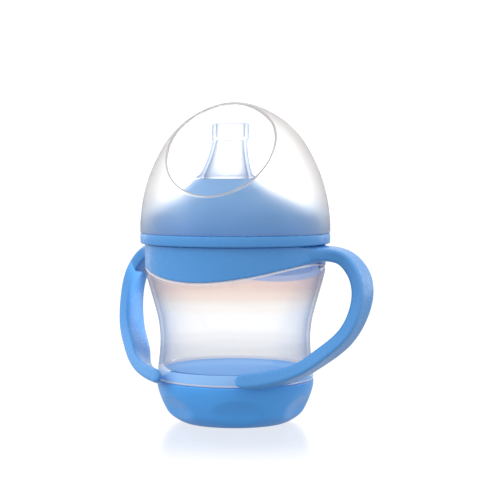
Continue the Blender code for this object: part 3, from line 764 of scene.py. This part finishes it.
# ---------------------------------------------------------------- node trees
class Nodes:
    """Writes the node tree of a material or a world."""

    def __init__(self, owner, output="OutputMaterial"):
        self.owner = owner
        owner.use_nodes = True
        self.tree = owner.node_tree
        self.tree.nodes.clear()
        self.out = self.new(output)

    def new(self, kind, **inputs):
        """A new node; underscores in the input names stand for spaces."""
        node = self.tree.nodes.new("ShaderNode" + kind)
        for name, value in inputs.items():
            self.set(node, name.replace("_", " "), value)
        return node

    def set(self, node, name, value):
        socket = node.inputs[name]
        if isinstance(value, bpy.types.NodeSocket):
            self.tree.links.new(value, socket)
        elif isinstance(value, tuple) and len(value) == 3 and socket.type == "RGBA":
            socket.default_value = (*value, 1.0)
        else:
            socket.default_value = value

    def position(self):
        return self.new("TexCoord").outputs["Object"]

    def noise(self, scale, detail, rough):
        node = self.new("TexNoise", Scale=scale, Detail=detail, Roughness=rough,
                        Vector=self.position())
        return node.outputs["Fac"]

    def remap(self, value, source, target, smoothed=False):
        node = self.new("MapRange", Value=value, From_Min=source[0], From_Max=source[1],
                        To_Min=target[0], To_Max=target[1])
        if smoothed:
            node.interpolation_type = "SMOOTHSTEP"
        return node.outputs["Result"]

    def math(self, operation, first, second):
        node = self.new("Math")
        node.operation = operation
        self.set(node, 0, first)
        self.set(node, 1, second)
        return node.outputs["Value"]

    def mix_color(self, factor, first, second, blend="MIX"):
        node = self.new("Mix")
        node.data_type = "RGBA"
        node.blend_type = blend
        self.set(node, 0, factor)
        self.set(node, 6, first)
        self.set(node, 7, second)
        return node.outputs[2]

    def mix(self, factor, first, second):
        node = self.new("MixShader")
        for i, value in enumerate((factor, first, second)):
            self.set(node, i, value)
        return node.outputs[0]

    def bump(self, height, strength, distance):
        node = self.new("Bump", Strength=strength, Distance=distance, Height=height)
        return node.outputs["Normal"]

    def height_mm(self):
        split = self.new("SeparateXYZ", Vector=self.position())
        return self.math("MULTIPLY", split.outputs["Z"], 1000.0)

    def ramp(self, value, stops):
        node = self.new("ValToRGB", Fac=value)
        ramp = node.color_ramp
        ramp.interpolation = "EASE"
        ramp.elements.remove(ramp.elements[-1])
        ramp.elements[0].position = stops[0][0]
        ramp.elements[0].color = (*stops[0][1], 1.0)
        for place, color in stops[1:]:
            ramp.elements.new(place).color = (*color, 1.0)
        return node.outputs["Color"]

    def surface(self, shader):
        self.set(self.out, "Surface", shader)
        return self.owner


# ---------------------------------------------------------------- materials
UNIT = (0.0, 1.0)
NOISE_SPAN = (0.3, 0.7)     # where most of a noise texture's values lie
WHITE = (1.0, 1.0, 1.0)


def blue_plastic(name, *, base, deep, rough):
    nodes = Nodes(bpy.data.materials.new(name))
    cloud = nodes.noise(scale=38.0, detail=2.0, rough=0.45)
    color = nodes.mix_color(nodes.remap(cloud, NOISE_SPAN, UNIT, smoothed=True), deep, base)
    # handled edges are a little paler
    edges = nodes.remap(nodes.new("NewGeometry").outputs["Pointiness"], (0.56, 0.68), UNIT,
                        smoothed=True)
    patches = nodes.remap(nodes.noise(scale=320.0, detail=4.0, rough=0.6), (0.45, 0.7),
                          (0.2, 1.0))
    rub = nodes.math("MULTIPLY", edges, patches)
    pale = tuple(min(1.0, 1.35 * channel + 0.04) for channel in base)
    color = nodes.mix_color(nodes.math("MULTIPLY", rub, 0.16), color, pale)
    grain = nodes.noise(scale=2600.0, detail=2.0, rough=0.6)
    flow = nodes.noise(scale=240.0, detail=3.0, rough=0.5)
    plastic = nodes.new("BsdfPrincipled", Base_Color=color, IOR=1.46, Specular_IOR_Level=0.42,
                        Roughness=nodes.remap(flow, NOISE_SPAN, (rough - 0.04, rough + 0.06)),
                        Normal=nodes.bump(grain, strength=0.03, distance=0.00002))
    return nodes.surface(plastic.outputs[0])


def see_through(name, *, tints, limb_power, veils, veil_color, gloss=None, light_bands=None,
                rough=None, shine_most=0.30, front_only=False, dull_share=0.5,
                lit_through=False, glow=0.0):
    """A moulded wall: a tinted view through it, and a milky veil over that.
    tints and veils are pairs, for the wall seen square on and at its limb.
    With rough it refracts; without, it is plainly transparent and gets a Fresnel shine, whose
    roughness is gloss. light_bands (z from, z to, ramp stops) multiplies in painted light and
    shade by height in mm; glow adds a painted glow, an emission standing in for light come
    through the wall."""
    nodes = Nodes(bpy.data.materials.new(name))
    facing = nodes.new("LayerWeight", Blend=0.5).outputs["Facing"]
    limb = nodes.math("POWER", facing, limb_power)
    grain = nodes.noise(scale=1500.0, detail=2.0, rough=0.6)
    flow = nodes.noise(scale=90.0, detail=3.0, rough=0.5)
    normal = nodes.bump(grain, strength=0.12, distance=0.00002)
    color = nodes.mix_color(limb, *tints)
    # painted light and shade: the colour is multiplied by a ramp by height
    if light_bands is not None:
        low, high, stops = light_bands
        level = nodes.remap(nodes.height_mm(), (low, high), UNIT)
        color = nodes.mix_color(1.0, color, nodes.ramp(level, stops), blend="MULTIPLY")
    if lit_through:
        # light on its way to what is under the wall passes freely
        color = nodes.mix_color(nodes.new("LightPath").outputs["Is Diffuse Ray"], color, WHITE)
    if rough is not None:
        view = nodes.new("BsdfGlass", IOR=1.44, Color=color, Normal=normal,
                         Roughness=nodes.remap(flow, NOISE_SPAN, (rough * 0.95, rough * 1.05)))
    else:
        view = nodes.new("BsdfTransparent", Color=color)

    milk_color = nodes.mix_color(nodes.remap(flow, NOISE_SPAN, UNIT), veil_color,
                                 tuple(0.97 * channel for channel in veil_color))
    milk = nodes.mix(dull_share, nodes.new("BsdfTranslucent", Color=milk_color).outputs[0],
                     nodes.new("BsdfDiffuse", Color=milk_color).outputs[0])
    if glow:
        # painted glow: an emission standing in for light that has come through the wall from
        # behind
        painted_glow_shader = nodes.new("Emission", Strength=glow, Color=milk_color)
        both = nodes.new("AddShader")
        nodes.set(both, 0, milk)
        nodes.set(both, 1, painted_glow_shader.outputs[0])
        milk = both.outputs[0]
    veil = nodes.remap(limb, UNIT, veils)
    if front_only:
        backfacing = nodes.new("NewGeometry").outputs["Backfacing"]
        veil = nodes.math("MULTIPLY", veil, nodes.math("SUBTRACT", 1.0, backfacing))
    body = nodes.mix(veil, view.outputs[0], milk)
    if rough is not None:
        return nodes.surface(body)
    shine = nodes.new("BsdfGlossy", Normal=normal,
                      Roughness=nodes.remap(flow, NOISE_SPAN, (gloss - 0.02, gloss + 0.03)))
    fresnel = nodes.remap(nodes.math("POWER", facing, 5.0), UNIT, (0.03, shine_most))
    return nodes.surface(nodes.mix(fresnel, body, shine.outputs[0]))


# painted reflection: a blue cast painted over the cover's lowest part, standing in for light
# thrown up from the blue collar beneath
COVER_BLUE_CAST_BANDS = (80.0, 98.0, [(0.0, (0.80, 0.90, 1.0)), (0.35, (0.88, 0.94, 1.0)), (1.0, WHITE)])
# painted light and shade on the clear bottle: grey shade painted low down and at the top, a warm
# peach light painted below the lip
BOTTLE_LIGHT_BANDS = (20.0, 66.0, [
    (0.0, (0.82, 0.83, 0.86)), (0.20, (0.84, 0.84, 0.85)), (0.27, (0.91, 0.91, 0.915)),
    (0.35, WHITE), (0.57, WHITE), (0.66, (1.0, 0.955, 0.91)), (0.755, (0.955, 0.84, 0.78)),
    (0.84, (0.91, 0.79, 0.75)), (1.0, (0.80, 0.79, 0.86))])

BLUE = blue_plastic("blue_pp_plastic", base=(0.080, 0.290, 0.655), deep=(0.074, 0.278, 0.637),
                    rough=0.27)
BASE_BLUE = blue_plastic("blue_base_plastic", base=(0.070, 0.330, 0.790),
                         deep=(0.063, 0.314, 0.765), rough=0.34)
# painted light: a brighter, more saturated copy of the collar's blue for its dome, making up for
# the light lost under the dust cover
DOME_BLUE_BRIGHTENED = blue_plastic("blue_pp_dome_brightened", base=(0.092, 0.400, 0.870),
                         deep=(0.084, 0.382, 0.845), rough=0.30)
FROSTED = see_through(
    "frosted_pp_plastic", tints=((0.945, 0.93, 0.92), (0.58, 0.56, 0.55)), limb_power=2.3,
    veils=(0.10, 0.27), veil_color=(0.93, 0.91, 0.90), light_bands=COVER_BLUE_CAST_BANDS, rough=0.33,
    lit_through=True)
FROSTED_IN = see_through(
    "frosted_pp_inside", tints=((0.99, 0.985, 0.98), (0.84, 0.83, 0.82)), limb_power=2.0,
    veils=(0.03, 0.10), veil_color=(0.93, 0.915, 0.91), rough=0.33, lit_through=True)
WINDOW = see_through(
    "polished_window", tints=((0.995, 0.995, 0.995), (0.98, 0.98, 0.985)), limb_power=4.0,
    veils=(0.10, 0.12), veil_color=(0.95, 0.95, 0.95), rough=0.0)
RIM = see_through(
    "polished_rim", tints=((0.86, 0.85, 0.85), (0.78, 0.77, 0.77)), limb_power=2.0,
    veils=(0.72, 0.80), veil_color=(0.62, 0.605, 0.60), gloss=0.12)
BOTTLE = see_through(
    "clear_pp_plastic", tints=((0.99, 0.99, 0.995), (0.46, 0.54, 0.68)), limb_power=2.2,
    veils=(0.02, 0.30), veil_color=(0.78, 0.83, 0.92), gloss=0.14, light_bands=BOTTLE_LIGHT_BANDS)
BOTTLE_IN = see_through(
    "clear_pp_inside", tints=((0.995, 0.995, 0.995), (0.76, 0.83, 0.94)), limb_power=2.6,
    veils=(0.01, 0.14), veil_color=(0.82, 0.86, 0.94), gloss=0.16)
# the clear floor gets a milky blue veil for the blue base under it and a painted glow that
# lightens it
FLOOR_PP = see_through(
    "clear_pp_floor", tints=((0.80, 0.90, 1.0), (0.78, 0.89, 1.0)), limb_power=2.0,
    veils=(0.90, 0.90), veil_color=(0.245, 0.555, 0.95), gloss=0.20, shine_most=0.10,
    dull_share=0.92, glow=0.09)
# painted light: a light blue veil over the low outer wall in place of the shaded base inside
FOOT_PAINTED_LIGHT_PP = see_through(
    "clear_pp_foot_painted_light", tints=((0.80, 0.90, 1.0), (0.80, 0.86, 0.95)), limb_power=2.0,
    veils=(0.84, 0.66), veil_color=(0.38, 0.66, 0.96), gloss=0.16, shine_most=0.2,
    front_only=True, dull_share=0.65)
# painted highlight for the bright lines at the lip and the bottle's edges
EDGE_HIGHLIGHT_PP = see_through(
    "clear_pp_edge_highlight", tints=((1.0, 0.97, 0.94), (1.0, 0.94, 0.90)), limb_power=2.0,
    veils=(0.86, 0.90), veil_color=(1.0, 0.93, 0.87), gloss=0.20, front_only=True)
# painted light: a pale blue veil and a painted glow over the shaded wall under the band
NECK_PAINTED_LIGHT_PP = see_through(
    "clear_pp_neck_painted_light", tints=((0.95, 0.97, 1.0), (0.85, 0.90, 0.97)), limb_power=2.0,
    veils=(0.80, 0.84), veil_color=(0.56, 0.74, 0.96), gloss=0.20, front_only=True,
    dull_share=0.95, glow=0.36)
SILICONE = see_through(
    "clear_silicone", tints=((0.98, 0.98, 0.985), (0.10, 0.22, 0.40)), limb_power=1.15,
    veils=(0.02, 0.12), veil_color=(0.55, 0.68, 0.88), gloss=0.16, shine_most=0.12)
SEAL = see_through(
    "seal_silicone", tints=((0.90, 0.92, 0.95), (0.7, 0.74, 0.8)), limb_power=2.0,
    veils=(0.35, 0.6), veil_color=(0.84, 0.87, 0.92), gloss=0.30)

# ---------------------------------------------------------------- stage, in metres
CAMERA_AZIMUTH = math.radians(27.0)
CAMERA_PITCH = math.radians(90.0 - 2.7)     # 90 degrees would look level
CAMERA_DISTANCE, CAMERA_SHIFT, CAMERA_HEIGHT = 0.680, 0.001977, 0.108427
LENS_MM = 121.125
BACKDROP = 1.12             # brightness of the floor and the backdrop as seen


def from_camera(x, y, z):
    """A point given as right of, beyond and above the cup, as the camera sees it."""
    cosine, sine = math.cos(CAMERA_AZIMUTH), math.sin(CAMERA_AZIMUTH)
    return (x * cosine - y * sine, x * sine + y * cosine, z)


def floor_material():
    nodes = Nodes(bpy.data.materials.new("floor_white"))
    path = nodes.new("LightPath").outputs
    seen = nodes.math("MAXIMUM", path["Is Camera Ray"], path["Is Transmission Ray"])
    unseen = nodes.remap(path["Is Glossy Ray"], UNIT, (0.50, 0.62))
    strength = nodes.math("MAXIMUM", unseen, nodes.math("MULTIPLY", seen, BACKDROP))
    glow = nodes.new("Emission", Color=WHITE, Strength=strength)
    gloss = nodes.new("BsdfGlossy", Roughness=0.22, Color=(0.97, 0.98, 1.0))
    away = nodes.new("VectorMath")
    away.operation = "LENGTH"
    nodes.set(away, 0, nodes.position())
    # the mirror image fades away from the foot
    polish = nodes.remap(away.outputs["Value"], (0.045, 0.125), (0.34, 0.03), smoothed=True)
    return nodes.surface(nodes.mix(polish, glow.outputs[0], gloss.outputs[0]))


def build_floor():
    bm = bmesh.new()
    bmesh.ops.create_circle(bm, cap_ends=True, segments=96, radius=6.0)
    floor = mesh_object("floor", bm, [floor_material()])
    floor.location = (0.0, 0.0, -0.0002)


def build_world():
    world = bpy.data.worlds.new("studio")
    bpy.context.scene.world = world
    nodes = Nodes(world, "OutputWorld")
    path = nodes.new("LightPath").outputs
    # what lights the dull surfaces: brighter from above and from beyond the cup
    direction = nodes.new("TexCoord").outputs["Generated"]
    split = nodes.new("SeparateXYZ", Vector=direction)
    beyond = nodes.new("VectorMath")
    beyond.operation = "DOT_PRODUCT"
    nodes.set(beyond, 0, direction)
    nodes.set(beyond, 1, from_camera(0.0, 1.0, 0.0))
    above_part = nodes.remap(split.outputs["Z"], (-0.2, 1.0), (0.0, 0.60))
    beyond_part = nodes.remap(beyond.outputs["Value"], (-1.0, 1.0), (0.78, 1.05))
    lit = nodes.new("Background", Color=WHITE,
                    Strength=nodes.math("ADD", above_part, beyond_part))
    # the backdrop is a touch brighter to whatever looks at it through the frosted wall
    brightness = nodes.remap(path["Is Transmission Ray"], UNIT, (BACKDROP, 1.14))
    seen = nodes.new("Background", Color=WHITE, Strength=brightness)
    nodes.surface(nodes.mix(path["Is Diffuse Ray"], seen.outputs[0], lit.outputs[0]))


def area_light(name, place, target, *, size, power, shines=False):
    """A rectangular light, hidden from the camera; `shines` shows it in reflections."""
    data = bpy.data.lights.new(name, "AREA")
    data.shape = "RECTANGLE"
    data.size, data.size_y = size
    data.energy = power
    light = bpy.data.objects.new(name, data)
    bpy.context.scene.collection.objects.link(light)
    light.location = place
    aim = Vector(target) - Vector(place)
    light.rotation_euler = aim.to_track_quat("-Z", "Y").to_euler()
    light.visible_camera = False
    light.visible_glossy = shines


def build_lights():
    area_light("back_panel", from_camera(0.0, 0.9, 0.35), (0, 0, 0.07), size=(1.2, 0.7),
               power=7.0)
    area_light("left_panel", from_camera(-0.8, -0.3, 0.5), (0, 0, 0.06), size=(0.4, 0.7),
               power=3.2)
    area_light("right_panel", from_camera(0.8, -0.1, 0.4), (0, 0, 0.06), size=(0.3, 0.7),
               power=0.7)
    area_light("left_strip", from_camera(-0.64, 0.77, 0.20), (0, 0, 0.07), size=(0.03, 0.7),
               power=0.45, shines=True)
    area_light("right_strip", from_camera(0.80, 0.60, 0.20), (0, 0, 0.07), size=(0.08, 0.7),
               power=0.5, shines=True)
    # the glow of the backlit bottle on the inner face of the strap at -X
    area_light("bottle_glow", (-0.0395, 0.004, 0.041), (-0.0600, 0.003, 0.030),
               size=(0.010, 0.056), power=0.0031)


def build_camera():
    data = bpy.data.cameras.new("camera")
    data.sensor_width = 36.0
    data.lens = LENS_MM
    data.clip_start = 0.01
    camera = bpy.data.objects.new("camera", data)
    bpy.context.scene.collection.objects.link(camera)
    camera.location = from_camera(CAMERA_SHIFT, -CAMERA_DISTANCE, CAMERA_HEIGHT)
    camera.rotation_euler = (CAMERA_PITCH, 0.0, CAMERA_AZIMUTH)
    bpy.context.scene.camera = camera


build_bottle()
build_base()
build_collar()
build_spout()
build_seal()
build_cover()
build_handle_ring()
build_floor()
build_world()
build_lights()
bpy.context.scene.view_settings.view_transform = "Standard"
build_camera()
